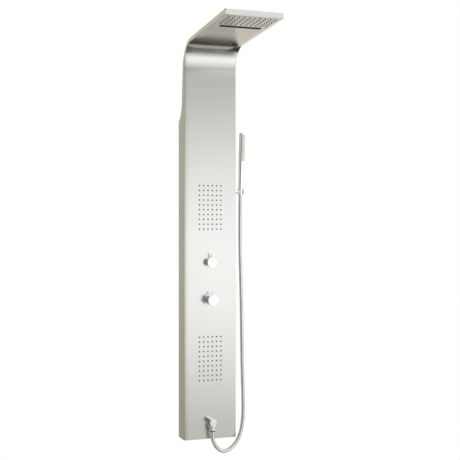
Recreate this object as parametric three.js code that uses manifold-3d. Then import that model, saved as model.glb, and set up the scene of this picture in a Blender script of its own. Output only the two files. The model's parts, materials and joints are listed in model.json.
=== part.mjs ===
// Rainfall shower column: a folded steel panel that bends forward into an arm and a rain head,
// with two fields of body jets, a diverter, a single-lever mixer, a hose outlet and a handset.
// The front faces -Y and the wall is the plane y = 0. Heights count from the panel's lower edge;
// the last lines lift the column so that the origin is the upper wall bracket's back face.
import * as THREE from 'three';
import { mergeGeometries, mergeVertices } from 'three/addons/utils/BufferGeometryUtils.js';
import Module from 'manifold-3d';

const wasm = await Module();
wasm.setup();

// Panel, arm and head, in millimetres.
const WIDTH = 200;
const DEPTH = 72;
const SHEET = 1.5;
const GAP = 0.3;
const HEAD_REACH = 541;
const HEAD_UNDERSIDE_Z = 1447;
const HEAD_TOP_Z = 1467;
const UNDERSIDE_RISE = THREE.MathUtils.degToRad(1.5);
const TOP_RISE = THREE.MathUtils.degToRad(2.1);
const INNER_BEND_RADIUS = 80;
const OUTER_BEND_RADIUS = 107;
const SHOULDER_Z = 1171;
const NECK_FOOT = { y: -41.5, z: 1235 };
const NECK_LEAN = THREE.MathUtils.degToRad(4.8);
const BOTTOM_FLANGE = 30;
const INNER_HALF = WIDTH / 2 - SHEET;

// Nozzle fields: the body jets are 6 by 10 and the rain head is 10 by 6.
const JET_FIELD = { columns: 6, rows: 10, pitchX: 16.6, pitchZ: 17.7, hole: 6.2 };
const RAIN_FIELD = { columns: 10, rows: 6, pitchX: 17.7, pitchZ: 17.7, hole: 5.4 };
const UPPER_JETS_Z = 851;
const LOWER_JETS_Z = 295;
const RAIN_CENTRE = 64;
const MAT = 2;
const NOZZLE_PROUD = 2.5;
const JET_CHAMBER = { width: 108, height: 184, depth: 18, wall: 2.5 };
const RAIN_CHAMBER = { width: 184, height: 107, depth: 9, wall: 1.6 };
const SPOUT = { centre: 138, width: 148, depth: 24, height: 9.5, slotWidth: 144, slotDepth: 16 };

// Controls, outlet and handset.
const DIVERTER_Z = 649;
const MIXER_Z = 511;
const OUTLET_Z = 66;
const DIVERTER_KNOB = { radius: 19, length: 27, pinAt: -18, pinTop: 32 };
const MIXER_HANDLE = { radius: 21, length: 42, pinAt: -32, pinTop: 29 };
const MIXER_PIVOT_Y = -16;
const PIN_RADIUS = 2.5;
const OUTLET = { radius: 12.75, length: 39, nippleY: -27.5 };
const HANDSET = { x: 122, y: -60, z: 900, lean: 5, turn: 30, nut: 24, length: 229, radius: 11 };
const HOLDER_UP = 12;
const HOSE_RADIUS = 7;
const HANG_Z = 1100;

// ---- materials ----

const finish = (color, roughness, metalness) => new THREE.MeshStandardMaterial({ color, roughness, metalness });
const brushedSteel = () => finish(0xc9c9c4, 0.38, 1);
const chrome = () => finish(0xe6e8ea, 0.08, 1);
const brass = () => finish(0xb89a55, 0.4, 1);
const silicone = () => finish(0x8b8f8e, 0.7, 0);
const whitePlastic = () => finish(0xe4e4de, 0.5, 0);
const blackRubber = () => finish(0x242424, 0.8, 0);
const zincSteel = () => finish(0xa9adb0, 0.45, 1);
const clearTube = () => finish(0xd8dcd6, 0.35, 0);

// ---- solids ----

function solidOf(geometry) {
  const bare = geometry.clone();
  bare.deleteAttribute('normal');
  bare.deleteAttribute('uv');
  const merged = mergeVertices(bare, 1e-4);
  return new wasm.Manifold(new wasm.Mesh({
    numProp: 3,
    vertProperties: new Float32Array(merged.attributes.position.array),
    triVerts: new Uint32Array(merged.index.array),
  }));
}

function geometryOf(solid) {
  const mesh = solid.getMesh();
  const geometry = new THREE.BufferGeometry();
  geometry.setAttribute('position', new THREE.BufferAttribute(new Float32Array(mesh.vertProperties), 3));
  geometry.setIndex(new THREE.BufferAttribute(new Uint32Array(mesh.triVerts), 1));
  return geometry;
}

const combine = (operation, base, others) =>
  geometryOf(others.reduce((solid, other) => solid[operation](solidOf(other)), solidOf(base)));
const cut = (base, ...tools) => combine('subtract', base, tools);
const join = (base, ...others) => combine('add', base, others);

function block(x, y, z) {
  const box = new THREE.BoxGeometry(x[1] - x[0], y[1] - y[0], z[1] - z[0]);
  return box.translate((x[0] + x[1]) / 2, (y[0] + y[1]) / 2, (z[0] + z[1]) / 2);
}

const sides = (half) => [-half, half];

// A solid of revolution about Y. The profile is [radius, y], with its outer side towards +y.
const turned = (profile, segments) =>
  new THREE.LatheGeometry(profile.map(([radius, y]) => new THREE.Vector2(radius, y)), segments);

// A solid of revolution about Z, its profile [radius, z] with the outer side towards +z.
const turnedUp = (profile, segments) => turned(profile, segments).rotateX(Math.PI / 2);

const rod = (radius, from, to, segments) => turned([[0, from], [radius, from], [radius, to], [0, to]], segments);
const rodUp = (radius, from, to, segments) => rod(radius, from, to, segments).rotateX(Math.PI / 2);
const rodAcross = (radius, from, to, segments) => rod(radius, -to, -from, segments).rotateZ(Math.PI / 2);
const ring = (inner, outer, from, to, segments) =>
  turned([[outer, from], [outer, to], [inner, to], [inner, from], [outer, from]], segments);

// An outline in the Y-Z plane, pushed along X between two values.
function pushedAcross(outline, from, to) {
  const shape = new THREE.Shape(outline);
  const geometry = new THREE.ExtrudeGeometry(shape, { depth: to - from, bevelEnabled: false });
  const axes = new THREE.Matrix4().makeBasis(
    new THREE.Vector3(0, 1, 0), new THREE.Vector3(0, 0, 1), new THREE.Vector3(1, 0, 0));
  return geometry.applyMatrix4(axes).translate(from, 0, 0);
}

function tube(route, radius, sideCount, steps) {
  const section = new THREE.Shape(Array.from({ length: sideCount }, (_, i) => {
    const angle = (2 * Math.PI * i) / sideCount;
    return new THREE.Vector2(radius * Math.cos(angle), radius * Math.sin(angle));
  }));
  const path = new THREE.CatmullRomCurve3(route.map((p) => new THREE.Vector3(...p)), false, 'centripetal');
  return new THREE.ExtrudeGeometry(section, { steps, bevelEnabled: false, extrudePath: path });
}

// ---- the panel's side outline ----

const corner = (y, z) => new THREE.Vector2(y, z);

function roundedCorner(before, at, after, radius, steps) {
  const back = before.clone().sub(at).normalize();
  const on = after.clone().sub(at).normalize();
  const half = Math.acos(back.dot(on)) / 2;
  const centre = back.clone().add(on).normalize().multiplyScalar(radius / Math.sin(half)).add(at);
  const start = at.clone().addScaledVector(back, radius / Math.tan(half)).sub(centre).angle();
  const end = at.clone().addScaledVector(on, radius / Math.tan(half)).sub(centre).angle();
  const turn = Math.atan2(Math.sin(end - start), Math.cos(end - start));
  return Array.from({ length: steps + 1 }, (_, i) => {
    const angle = start + (turn * i) / steps;
    return corner(centre.x + radius * Math.cos(angle), centre.y + radius * Math.sin(angle));
  });
}

const undersideZ = (y) => HEAD_UNDERSIDE_Z - (y + HEAD_REACH) * Math.tan(UNDERSIDE_RISE);
const topZ = (y) => HEAD_TOP_Z - (y + HEAD_REACH) * Math.tan(TOP_RISE);
const neckBackY = (z) => NECK_FOOT.y - (z - NECK_FOOT.z) * Math.tan(NECK_LEAN);

// Up the front face, round the inner bend and forward along the underside of the arm.
function frontPath(startZ, endY) {
  const foot = corner(-DEPTH, startZ);
  const at = corner(-DEPTH, undersideZ(-DEPTH));
  const tip = corner(endY, undersideZ(endY));
  return [foot, ...roundedCorner(foot, at, tip, INNER_BEND_RADIUS, 12), tip];
}

// From the shoulder up the back of the neck, round the outer bend and forward along the top.
function neckPath(endY) {
  const foot = corner(NECK_FOOT.y, NECK_FOOT.z);
  const shoulder = new THREE.QuadraticBezierCurve(corner(0, SHOULDER_Z), corner(-37.6, 1188.6), foot);
  const bendY = neckBackY(topZ(-60));
  const at = corner(bendY, topZ(bendY));
  const tip = corner(endY, topZ(endY));
  return [...shoulder.getPoints(6), ...roundedCorner(foot, at, tip, OUTER_BEND_RADIUS, 12), tip];
}

// The same path moved sideways, to the left of its direction.
function moved(path, distance) {
  const leftOf = (a, b) => corner(a.y - b.y, b.x - a.x).normalize();
  return path.map((p, i) => {
    const before = i > 0 ? leftOf(path[i - 1], p) : leftOf(p, path[i + 1]);
    const after = i < path.length - 1 ? leftOf(p, path[i + 1]) : before;
    const reach = distance / (1 + before.dot(after));
    return p.clone().addScaledVector(before.clone().add(after), reach);
  });
}

// ---- nozzle fields ----
// Each is built with the sheet's outer face at y = 0 and the inside of the panel at +y.

function overField({ columns, rows, pitchX, pitchZ }, makeOne) {
  const all = [];
  for (let column = 0; column < columns; column += 1) {
    for (let row = 0; row < rows; row += 1) {
      const x = (column - (columns - 1) / 2) * pitchX;
      const z = (row - (rows - 1) / 2) * pitchZ;
      all.push(makeOne().translate(x, 0, z));
    }
  }
  return mergeGeometries(all);
}

const fieldHoles = (field) => overField(field, () =>
  block(sides(field.hole / 2), [-1, SHEET + 0.1], sides(field.hole / 2)));

function nozzleMat(field, width, height) {
  const matY = SHEET + GAP;
  const length = matY + NOZZLE_PROUD + MAT / 2;
  const foot = field.hole * 0.62;
  const nozzle = () => new THREE.ConeGeometry(foot, length, 4)
    .rotateX(Math.PI).rotateY(Math.PI / 4).translate(0, length / 2 - NOZZLE_PROUD, 0);
  return join(block(sides(width / 2), [matY, matY + MAT], sides(height / 2)), overField(field, nozzle));
}

function nozzleChamber({ width, height, depth, wall }) {
  const openY = SHEET + GAP + MAT + GAP;
  const inner = block(sides(width / 2 - wall), [openY - 1, openY + depth - wall], sides(height / 2 - wall));
  return cut(block(sides(width / 2), [openY, openY + depth], sides(height / 2)), inner);
}

function waterfallSpout() {
  const floorY = SHEET + GAP;
  const { width, depth, height, slotWidth, slotDepth } = SPOUT;
  const box = block(sides(width / 2), [floorY, floorY + height], sides(depth / 2));
  const lip = block(sides(slotWidth / 2 - 0.5), [-1, floorY + 1], sides(slotDepth / 2 - 0.5));
  const water = block(sides(width / 2 - 2), [floorY + 2, floorY + height - 2], sides(depth / 2 - 2));
  const slot = block(sides(slotWidth / 2 - 1.5), [-2, floorY + 3], sides(slotDepth / 2 - 1.5));
  return cut(join(box, lip), water, slot);
}

// From a field's own frame into the column's, on the front face or under the head.
const onFront = (geometry, z) => geometry.translate(0, -DEPTH, z);
const underHead = (geometry, back) => geometry.rotateX(Math.PI / 2).translate(0, back, 0)
  .rotateX(-UNDERSIDE_RISE).translate(0, -HEAD_REACH, HEAD_UNDERSIDE_Z);

// Where the holder's boss meets the side wall.
const leanAngle = THREE.MathUtils.degToRad(HANDSET.lean);
const holderAxis = {
  y: HANDSET.y - HOLDER_UP * Math.sin(leanAngle),
  z: HANDSET.z + HOLDER_UP * Math.cos(leanAngle),
};

// ---- sheet metal ----

function frontPanel() {
  const outline = [...frontPath(0, -HEAD_REACH), ...[corner(0, 0), ...neckPath(-HEAD_REACH)].reverse()];
  const lipY = -HEAD_REACH + SHEET;
  const behind = [corner(0, SHEET), ...neckPath(lipY)];
  const hollow = [...moved(frontPath(SHEET, lipY), -SHEET), ...moved(behind, -5).reverse()];
  const slot = block(sides(SPOUT.slotWidth / 2), [-1, SHEET + 0.1], sides(SPOUT.slotDepth / 2));
  const through = (radius, z) => rod(radius, -DEPTH - 1, -DEPTH + SHEET + 1, 20).translate(0, 0, z);
  const screwHole = (x) => rodUp(2.5, -1, SHEET + 1, 8).translate(x, -52, 0);
  return cut(
    pushedAcross(outline, -WIDTH / 2, WIDTH / 2),
    pushedAcross(hollow, -INNER_HALF, INNER_HALF),
    block(sides(INNER_HALF), [-DEPTH + BOTTOM_FLANGE, 5], [-5, 5]),
    onFront(fieldHoles(JET_FIELD), UPPER_JETS_Z),
    onFront(fieldHoles(JET_FIELD), LOWER_JETS_Z),
    underHead(fieldHoles(RAIN_FIELD), RAIN_CENTRE),
    underHead(slot, SPOUT.centre),
    through(11.9, DIVERTER_Z), through(16.9, MIXER_Z), through(9.9, OUTLET_Z),
    rodAcross(3, INNER_HALF - 1, WIDTH / 2 + 1, 10).translate(0, holderAxis.y, holderAxis.z),
    screwHole(-60), screwHole(60),
  );
}

function topCover() {
  const outer = neckPath(-HEAD_REACH + SHEET + GAP);
  return pushedAcross([...outer, ...moved(outer, SHEET).reverse()], GAP - INNER_HALF, INNER_HALF - GAP);
}

function hangerRail() {
  const outline = [[-16, 1085], [-13, 1085], [-13, 1132], [-8, 1132], [-8, 1112], [-5, 1112], [-5, 1135], [-16, 1135]];
  return pushedAcross(outline.map(([y, z]) => corner(y, z)), GAP - INNER_HALF, INNER_HALF - GAP);
}

function upperWallBracket() {
  const outline = [[-3, 1075], [0, 1075], [0, 1125], [-3, 1125], [-3, 1111], [-9, 1111], [-9, 1122], [-12, 1122],
    [-12, 1108], [-3, 1108]];
  const plate = pushedAcross(outline.map(([y, z]) => corner(y, z)), -75, 75);
  return cut(plate, ...[-55, 55].map((x) => rod(3, -5, 1, 10).translate(x, 0, 1092)));
}

function lowerWallBracket() {
  const outline = [[-60, 1.8], [0, 1.8], [0, 40], [-3, 40], [-3, 4.8], [-60, 4.8]];
  const plate = pushedAcross(outline.map(([y, z]) => corner(y, z)), -80, 80);
  const wallHoles = [-60, 60].map((x) => rod(3, -5, 1, 10).translate(x, 0, 24));
  const screwHoles = [-60, 60].map((x) => rodUp(2.3, 0, 6, 8).translate(x, -52, 0));
  return cut(plate, ...wallHoles, ...screwHoles);
}

const bottomScrew = () => turnedUp([[0, -2.6], [4, -2.6], [4.5, -GAP], [2, -GAP], [2, 9], [0, 9]], 8);

// ---- diverter, built with the panel's face at y = 0 ----

function valveBody(collar, flange, cartridge, half, ports) {
  const front = turned([[0, -8], [collar, -8], [collar, SHEET + GAP], [flange, SHEET + GAP], [flange, 8], [0, 8]], 20);
  const bore = rod(cartridge + GAP, -9, 24, 20);
  return cut(join(front, block(sides(half.x), [6, 50], sides(half.z)), ...ports), bore);
}

function diverterBody() {
  const up = [-15, 15].map((x) => rodUp(7, 19, 32 - GAP, 8).translate(x, 32, 0));
  const down = [-15, 15].map((x) => rodUp(7, -32 + GAP, -19, 8).translate(x, 32, 0));
  const toJets = rodAcross(6, -40, -25, 8).translate(0, 32, 0);
  return valveBody(11.5, 18, 9, { x: 26, z: 20 }, [...up, ...down, toJets]);
}

const cartridge = (radius, stem) => cut(rod(radius, -6, 24 - GAP, 18), rod(stem, -8, 4, 12));
const clampNut = (inner, outer) => ring(inner, outer, -6, -GAP, 20);

function diverterKnob() {
  const { radius, length, pinAt } = DIVERTER_KNOB;
  const profile = [[0, -length], [radius - 1.5, -length], [radius, 1.5 - length], [radius, -0.8], [radius - 1.8, -0.8],
    [radius - 1.8, -14], [7, -14], [7, -10], [0, -10]];
  const pinHole = rodUp(PIN_RADIUS + GAP, radius - 7, radius + 2, 10).translate(0, pinAt, 0);
  const screwHole = rodUp(1.9, -radius - 1, -3, 8).translate(0, pinAt, 0);
  return cut(turned(profile, 24), rod(3.9, -length + 4.7, -9, 12), pinHole, screwHole);
}

const leverPin = (base, { pinTop, pinAt }) => rodUp(PIN_RADIUS, base, pinTop, 12).translate(0, pinAt, 0);
const grubScrew = (outer, y) => rodUp(1.6, -outer, -4.2, 6).translate(0, y, 0);

// ---- mixer, built with the panel's face at y = 0 and its lever pivot at MIXER_PIVOT_Y ----

// Points of a sphere about the pivot, by their angle from the forward axis.
function pivotArc(radius, fromDeg, toDeg, steps) {
  return Array.from({ length: steps + 1 }, (_, i) => {
    const angle = THREE.MathUtils.degToRad(fromDeg + ((toDeg - fromDeg) * i) / steps);
    return [radius * Math.sin(angle), MIXER_PIVOT_Y - radius * Math.cos(angle)];
  });
}

function mixerBody() {
  const toDiverter = rodUp(7, 21, 32 - GAP, 12).translate(-15, 32, 0);
  return valveBody(16.5, 24, 13, { x: 34, z: 22 }, [toDiverter]);
}

function mixerSleeve() {
  const profile = [...pivotArc(20.2, 40.1, 90, 4), [20.5, MIXER_PIVOT_Y], [20.5, -2.3], [21.8, -2.3], [21.8, -GAP],
    [19.3, -GAP], [19.3, MIXER_PIVOT_Y], ...pivotArc(18.9, 90, 43.5, 3)];
  return turned([...profile, profile[0]], 24);
}

function mixerRotor() {
  const hub = turned([[0, -12], [8.5, -12], [8.5, -9.8], [6, -9.8], [6, 3.7], [0, 3.7]], 16);
  const ear = (side) => block(side > 0 ? [4.3, 8] : [-8, -4.3], [-19.5, -11.5], sides(4));
  return cut(join(hub, ear(1), ear(-1)), rodAcross(1.8, -9, 9, 10).translate(0, MIXER_PIVOT_Y, 0));
}

function mixerLever() {
  const eye = rodAcross(3.5, -3.5, 3.5, 14).translate(0, MIXER_PIVOT_Y, 0);
  const bar = block(sides(3.5), [-40.2, MIXER_PIVOT_Y], sides(3.5));
  return cut(join(eye, bar), rodAcross(1.8, -5, 5, 10).translate(0, MIXER_PIVOT_Y, 0));
}

function mixerHandle() {
  const { radius, length, pinAt } = MIXER_HANDLE;
  const profile = [[0, -length], [radius - 1.5, -length], [radius, 1.5 - length], [radius, MIXER_PIVOT_Y - 8],
    ...pivotArc(21.2, 67.6, 17.46, 5), [6.3, -31], [0, -31]];
  const socket = block(sides(3.8), [-40.5, -30], sides(3.8));
  const pinHole = rodUp(PIN_RADIUS + GAP, 17.6, radius + 2, 10).translate(0, pinAt, 0);
  const screwHole = rodUp(1.9, -radius - 1, -3, 8).translate(0, -38.5, 0);
  return cut(turned(profile, 24), socket, pinHole, screwHole);
}

const inletNipple = () => turnedUp([[10.4, 0], [10.4, 22], [12.5, 22], [12.5, 32], [7, 32], [7, 0], [10.4, 0]], 18);
const checkValve = () => turnedUp([[0, 8], [6.7, 8], [6.7, 26], [0, 26]], 12);

// ---- hose outlet, built with the panel's face at y = 0 ----

function hoseOutlet() {
  const { radius, length, nippleY } = OUTLET;
  const profile = [[0, -length], [radius - 1.2, -length], [radius, 1.2 - length], [radius, -GAP], [9.5, -GAP], [9.5, 16],
    [0, 16]];
  const nipple = rodUp(9, -20, -8, 16).translate(0, nippleY, 0);
  return cut(join(turned(profile, 20), nipple), rodUp(5, -21, 0, 10).translate(0, nippleY, 0), rod(5, nippleY, 17, 10));
}

const lockNut = () => cut(rod(14, SHEET + GAP, 7, 6), rod(9.9, 0, 9, 24));
const outletElbow = () => join(rod(11, 16 + GAP, 36, 14), rodUp(6, 5, 24, 12).translate(0, 27, 0));
const lowerHoseNut = () => turnedUp([[8.4, -36], [11.2, -30], [11.2, -13.2], [9.3, -13.2], [9.3, -22.9], [5, -22.9],
  [5, -36], [8.4, -36]], 18);
const washer = () => ring(5, 9, -22.6, -20.3, 12).rotateX(Math.PI / 2);

// ---- handset and holder, built about the handset's own axis, up from the hose ----

const nutRadius = (height) => 9.2 + (1.4 * height) / HANDSET.nut;

const upperHoseNut = () => turnedUp([[nutRadius(0), 0], [nutRadius(24), 24], [4.5, 24], [4.5, 0], [nutRadius(0), 0]], 18);

function handsetBody() {
  const { nut, length, radius } = HANDSET;
  const profile = [[0, 12], [4.1, 12], [4.1, nut + GAP], [9.6, nut + GAP], [10, 60], [radius, 118], [radius, length - 2],
    [radius - 1.6, length], [0, length]];
  return cut(turnedUp(profile, 24), block(sides(7), [-12, -8.3], [124, 222]), rodUp(2.5, 11, 60, 8));
}

const sprayFace = () => block(sides(6.7), [-10.6, -8.6], [124.3, 221.7]);

function handsetHolder() {
  const collar = turnedUp([[0, 3], [13.5, 3], [13.5, 21], [0, 21]], 22);
  const boss = rodAcross(8, WIDTH / 2 + GAP - HANDSET.x, -10, 16).translate(0, 0, HOLDER_UP);
  const taper = turnedUp([[0, 0], [nutRadius(0) + 0.35, 0], [nutRadius(24) + 0.35, 24], [0, 24]], 18);
  const slot = block(sides(7.6), [-20, 0], [0, 24]);
  const screwHole = rodAcross(2.9, -24, -14, 10).translate(0, 0, HOLDER_UP);
  return cut(join(collar, boss), taper, slot, screwHole);
}

const holderScrew = () => turned([[0, 0], [5, 0], [5, 3], [2.6, 3], [2.6, 10], [0, 10]], 12).rotateZ(-Math.PI / 2);

// ---- water lines ----

// The way round the bend that both head lines take, at one x.
function overTheBend(x, endBack) {
  const radius = INNER_BEND_RADIUS + 7.4;
  const centre = { y: -DEPTH - INNER_BEND_RADIUS, z: undersideZ(-DEPTH) - 77.9 };
  const arc = Array.from({ length: 7 }, (_, i) => {
    const angle = (THREE.MathUtils.degToRad(88.5) * i) / 6;
    return [x, centre.y + radius * Math.cos(angle), centre.z + radius * Math.sin(angle)];
  });
  const endY = -HEAD_REACH + endBack;
  return [[x, arc[0][1], 1140], [x, arc[0][1], 1250], ...arc, [x, endY + 60, undersideZ(endY + 60) + 7],
    [x, endY, undersideZ(endY) + 7.6]];
}

const rainRoute = [[-15, -40, 681.3], [-15, -40, 740], [-15, -40, 940], [-45, -50, 1020], [-86, -64, 1085],
  ...overTheBend(-86, 118.5)];
const waterfallRoute = [[15, -40, 681.3], [15, -40, 740], [15, -40, 940], [35, -50, 1020], [58, -64, 1085],
  ...overTheBend(58, 151)];
const upperJetRoute = [[-58, -40, 665.3], [-58, -40, 690], [-52, -50, 725], [-44, -58, 745], [-44, -58, 758.6]];
const lowerJetRoute = [[-58, -40, 632.7], [-58, -40, 600], [-58, -40, 460], [-52, -50, 420], [-44, -58, 402],
  [-44, -58, 387.4]];
const handsetRoute = [[15, -40, 616.7], [17, -40, 600], [40, -40, 572], [54, -40, 540], [54, -40, 470], [44, -38, 400],
  [24, -36, 320], [8, -36, 200], [0, -42, 130], [0, -45, 106], [0, -45, 90.4]];
const jetTee = () => join(rodUp(6.5, -16, 16, 12), rodAcross(6, 3, 17.4, 12));

// The hose hangs from the handset, turns under the panel and comes back up to the outlet.
const hoseRoute = [
  [122, -60, 899.7], [122, -58.5, 872], [122, -57.5, 840], [121.5, -57.5, 768], [122, -58, 693], [124, -59, 600],
  [126, -60, 506], [127, -62, 394], [127.5, -65, 283], [128.5, -67.5, 208], [129.5, -70.5, 134], [128.5, -73, 95],
  [125, -76, 60], [118, -79.5, 26], [105, -83.5, -4], [85, -88, -28], [61, -92, -42], [37, -95.5, -41],
  [17, -98, -26], [4.5, -99.3, -5], [0, -99.5, 12], [0, -99.5, 29.7],
];

// ---- assembly ----

const column = new THREE.Group();

function group(parent, x, y, z) {
  const made = new THREE.Group();
  made.position.set(x, y, z);
  parent.add(made);
  return made;
}

function put(parent, name, geometry, material, x = 0, y = 0, z = 0) {
  const mesh = new THREE.Mesh(geometry, material);
  mesh.name = name;
  mesh.position.set(x, y, z);
  parent.add(mesh);
  return mesh;
}

put(column, 'front_panel', frontPanel(), brushedSteel());
put(column, 'top_cover', topCover(), brushedSteel());
put(column, 'hanger_rail', hangerRail(), zincSteel());
put(column, 'upper_wall_bracket', upperWallBracket(), zincSteel());
put(column, 'lower_wall_bracket', lowerWallBracket(), zincSteel());
put(column, 'bottom_screw_left', bottomScrew(), zincSteel(), -60, -52, 0);
put(column, 'bottom_screw_right', bottomScrew(), zincSteel(), 60, -52, 0);

for (const [name, z] of [['upper', UPPER_JETS_Z], ['lower', LOWER_JETS_Z]]) {
  const field = group(column, 0, -DEPTH, z);
  put(field, `${name}_jet_nozzles`, nozzleMat(JET_FIELD, 106, 182), silicone());
  put(field, `${name}_jet_chamber`, nozzleChamber(JET_CHAMBER), whitePlastic());
}

const head = group(column, 0, -HEAD_REACH, HEAD_UNDERSIDE_Z);
head.rotation.x = -UNDERSIDE_RISE;
const rain = group(head, 0, RAIN_CENTRE, 0);
rain.rotation.x = Math.PI / 2;
put(rain, 'rain_nozzles', nozzleMat(RAIN_FIELD, 180, 103), silicone());
put(rain, 'rain_chamber', nozzleChamber(RAIN_CHAMBER), whitePlastic());
const waterfall = group(head, 0, SPOUT.centre, 0);
waterfall.rotation.x = Math.PI / 2;
put(waterfall, 'waterfall_spout', waterfallSpout(), silicone());

const diverter = group(column, 0, -DEPTH, DIVERTER_Z);
put(diverter, 'diverter_body', diverterBody(), brass());
put(diverter, 'diverter_clamp_nut', clampNut(11.8, 15.5), brass());
put(diverter, 'diverter_cartridge', cartridge(9, 3.9), whitePlastic());
put(diverter, 'diverter_spindle', rod(3.6, -22, 3.7, 12), brass());
put(diverter, 'diverter_knob', diverterKnob(), chrome());
put(diverter, 'diverter_pin', leverPin(DIVERTER_KNOB.radius - 6.7, DIVERTER_KNOB), chrome());
put(diverter, 'diverter_grub_screw', grubScrew(DIVERTER_KNOB.radius - 1, DIVERTER_KNOB.pinAt), zincSteel());

const mixer = group(column, 0, -DEPTH, MIXER_Z);
put(mixer, 'mixer_body', mixerBody(), brass());
put(mixer, 'mixer_clamp_nut', clampNut(16.8, 18.9), brass());
put(mixer, 'mixer_cartridge', cartridge(13, 6.3), whitePlastic());
put(mixer, 'mixer_cartridge_nut', ring(6.4, 13, -9.5, -6.3, 14), brass());
put(mixer, 'mixer_sleeve', mixerSleeve(), chrome());
put(mixer, 'mixer_rotor', mixerRotor(), brass());
put(mixer, 'mixer_pivot_pin', rodAcross(1.5, -8, 8, 10), zincSteel(), 0, MIXER_PIVOT_Y, 0);
put(mixer, 'mixer_lever', mixerLever(), zincSteel());
put(mixer, 'mixer_handle', mixerHandle(), chrome());
put(mixer, 'mixer_pin', leverPin(19.9, MIXER_HANDLE), chrome());
put(mixer, 'mixer_grub_screw', grubScrew(MIXER_HANDLE.radius - 1, -38.5), zincSteel());
for (const [name, x] of [['hot', -22], ['cold', 22]]) {
  const inlet = group(mixer, x, 32, -54.3);
  put(inlet, `${name}_inlet`, inletNipple(), brass());
  put(inlet, `${name}_check_valve`, checkValve(), whitePlastic());
}

const outlet = group(column, 0, -DEPTH, OUTLET_Z);
put(outlet, 'hose_outlet', hoseOutlet(), chrome());
put(outlet, 'outlet_lock_nut', lockNut(), brass());
put(outlet, 'outlet_elbow', outletElbow(), brass());
put(outlet, 'outlet_washer', washer(), blackRubber(), 0, OUTLET.nippleY, 0);
put(outlet, 'lower_hose_nut', lowerHoseNut(), chrome(), 0, OUTLET.nippleY, 0);

const handset = group(column, HANDSET.x, HANDSET.y, HANDSET.z);
handset.rotation.x = leanAngle;
const stick = group(handset, 0, 0, 0);
stick.rotation.z = THREE.MathUtils.degToRad(HANDSET.turn);
put(stick, 'handset_body', handsetBody(), chrome());
put(stick, 'handset_spray_face', sprayFace(), whitePlastic());
put(handset, 'upper_hose_nut', upperHoseNut(), chrome());
put(handset, 'handset_holder', handsetHolder(), chrome());
put(column, 'holder_screw', holderScrew(), zincSteel(), INNER_HALF - GAP - 3,
  holderAxis.y, holderAxis.z);
put(column, 'shower_hose', tube(hoseRoute, HOSE_RADIUS, 8, 48), chrome());

put(column, 'mixer_to_diverter_pipe', rodUp(6, MIXER_Z + 32, DIVERTER_Z - 32, 12), brass(), -15, -40, 0);
put(column, 'rain_line', tube(rainRoute, 4, 6, 38), clearTube());
put(column, 'waterfall_line', tube(waterfallRoute, 4, 6, 38), clearTube());
put(column, 'jet_tee', jetTee(), brass(), -58, -40, DIVERTER_Z);
put(column, 'upper_jet_line', tube(upperJetRoute, 5, 6, 10), clearTube());
put(column, 'lower_jet_line', tube(lowerJetRoute, 5, 6, 14), clearTube());
put(column, 'handset_line', tube(handsetRoute, 5, 6, 20), clearTube());

column.position.z = -HANG_Z;
const showerColumn = new THREE.Group();
showerColumn.add(column);

export default showerColumn;
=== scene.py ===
"""The looks of the rainfall shower column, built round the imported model.

Lengths are in millimetres, with heights counted from the panel's lower edge, until a mesh is
made: new_object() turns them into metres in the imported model's frame. Local frames of the
controls point their Z out of the panel and their Y up.
"""
import json
import math

import bmesh
import bpy
from mathutils import Matrix, Vector


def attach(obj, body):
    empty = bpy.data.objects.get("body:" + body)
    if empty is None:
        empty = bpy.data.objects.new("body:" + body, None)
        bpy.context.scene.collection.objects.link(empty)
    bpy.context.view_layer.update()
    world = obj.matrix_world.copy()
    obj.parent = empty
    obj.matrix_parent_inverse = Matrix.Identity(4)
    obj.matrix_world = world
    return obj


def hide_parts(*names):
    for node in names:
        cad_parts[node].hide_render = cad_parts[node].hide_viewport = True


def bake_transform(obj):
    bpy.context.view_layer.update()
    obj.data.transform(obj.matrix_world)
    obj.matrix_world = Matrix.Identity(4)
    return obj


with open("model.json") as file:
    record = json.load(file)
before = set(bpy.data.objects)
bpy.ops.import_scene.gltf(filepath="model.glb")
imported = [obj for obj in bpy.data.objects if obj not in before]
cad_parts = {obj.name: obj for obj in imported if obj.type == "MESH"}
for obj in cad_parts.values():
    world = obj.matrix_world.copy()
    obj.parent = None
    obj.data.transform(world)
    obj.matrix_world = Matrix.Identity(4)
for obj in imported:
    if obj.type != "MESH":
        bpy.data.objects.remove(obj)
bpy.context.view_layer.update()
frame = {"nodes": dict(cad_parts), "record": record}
nodes = frame["nodes"]

# The driving dimensions of the part.
HANG = 1100
WIDTH = 200
DEPTH = 72
SHEET = 1.5
GAP = 0.3
REACH = 541
UNDERSIDE = 1447
TOP = 1467
UNDERSIDE_RISE = math.radians(1.5)
TOP_RISE = math.radians(2.1)
INNER_BEND = 80
OUTER_BEND = 107
SHOULDER = 1171
NECK_FOOT = (-41.5, 1235)
NECK_LEAN = math.radians(4.8)
BOTTOM_FLANGE = 30
INNER_HALF = WIDTH / 2 - SHEET
CROWN = 2.0
CROWN_BAND = 24
JETS = {"columns": 6, "rows": 10, "pitch_x": 16.6, "pitch_z": 17.7, "hole": 3.1}
RAIN = {"columns": 10, "rows": 6, "pitch_x": 17.7, "pitch_z": 17.7, "hole": 2.7}
UPPER_JETS = 851
LOWER_JETS = 295
RAIN_CENTRE = 64
SPOUT_CENTRE = 138
DIVERTER = 649
MIXER = 511
OUTLET = 66
NIPPLE = 27.5
PIVOT = 16
HANDSET = (122, -60, 900)
HANDSET_LEAN = math.radians(5)
HANDSET_TURN = math.radians(30)
HOLDER_UP = 12
HOSE_RADIUS = 7
HOSE_RIB = 4
PIN = 2.5
PIN_BORE = 2.8
GRUB_BORE = 1.9


# ---- camera ----


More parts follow.
